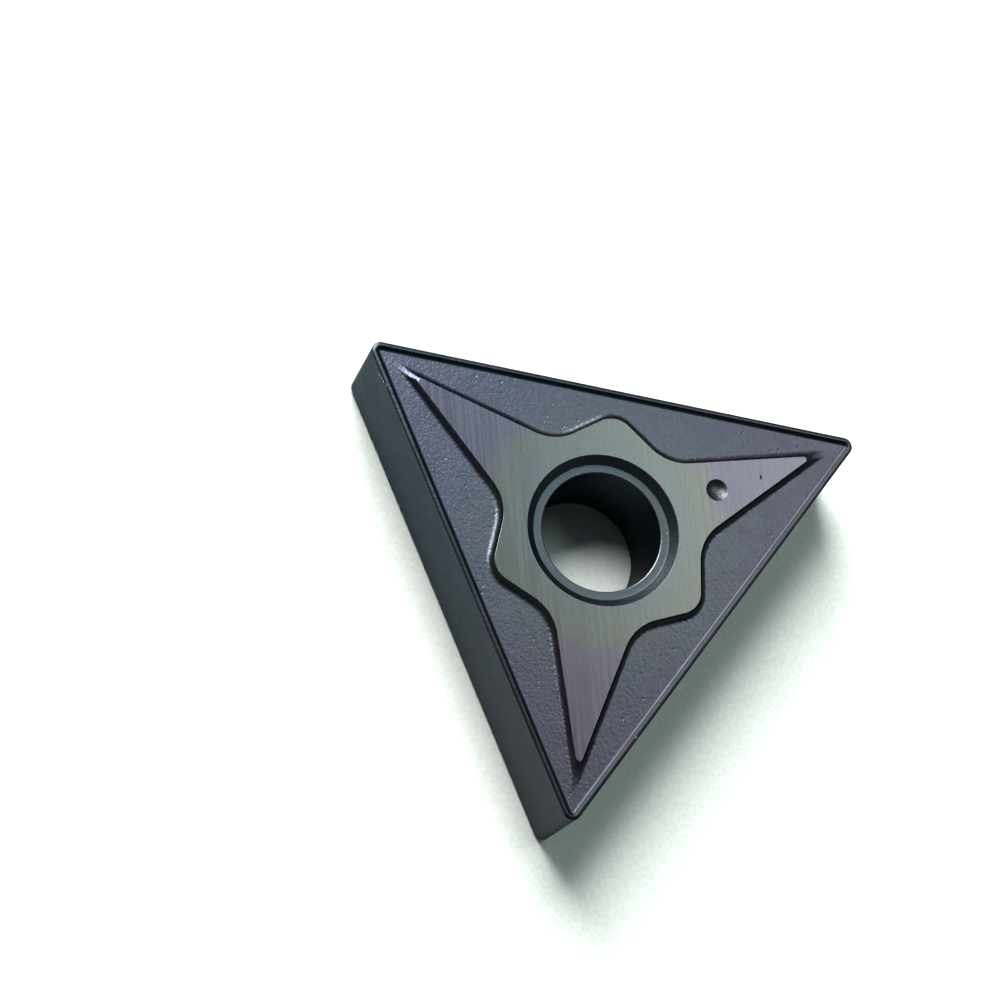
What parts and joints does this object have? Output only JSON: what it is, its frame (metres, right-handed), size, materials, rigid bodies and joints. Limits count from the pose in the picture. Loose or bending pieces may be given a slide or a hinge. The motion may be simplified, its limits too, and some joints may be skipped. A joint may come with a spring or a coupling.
{
  "type": "indexable turning insert",
  "caption": "Flat triangular cutting insert with rounded noses, moulded chip grooves round a raised star-shaped seating land on both faces, and a screw hole.",
  "frame": {"origin": "middle of the screw hole at half the thickness", "axes": "+Z along the hole out of one face, +Y towards the nose whose arm carries the dimple, +X along the width"},
  "size_m": [0.0214, 0.0187, 0.0048],
  "materials": {
    "coated_carbide": "satin"
  },
  "bodies": {
    "root": {"insert": "coated_carbide"}
  },
  "joints": []
}
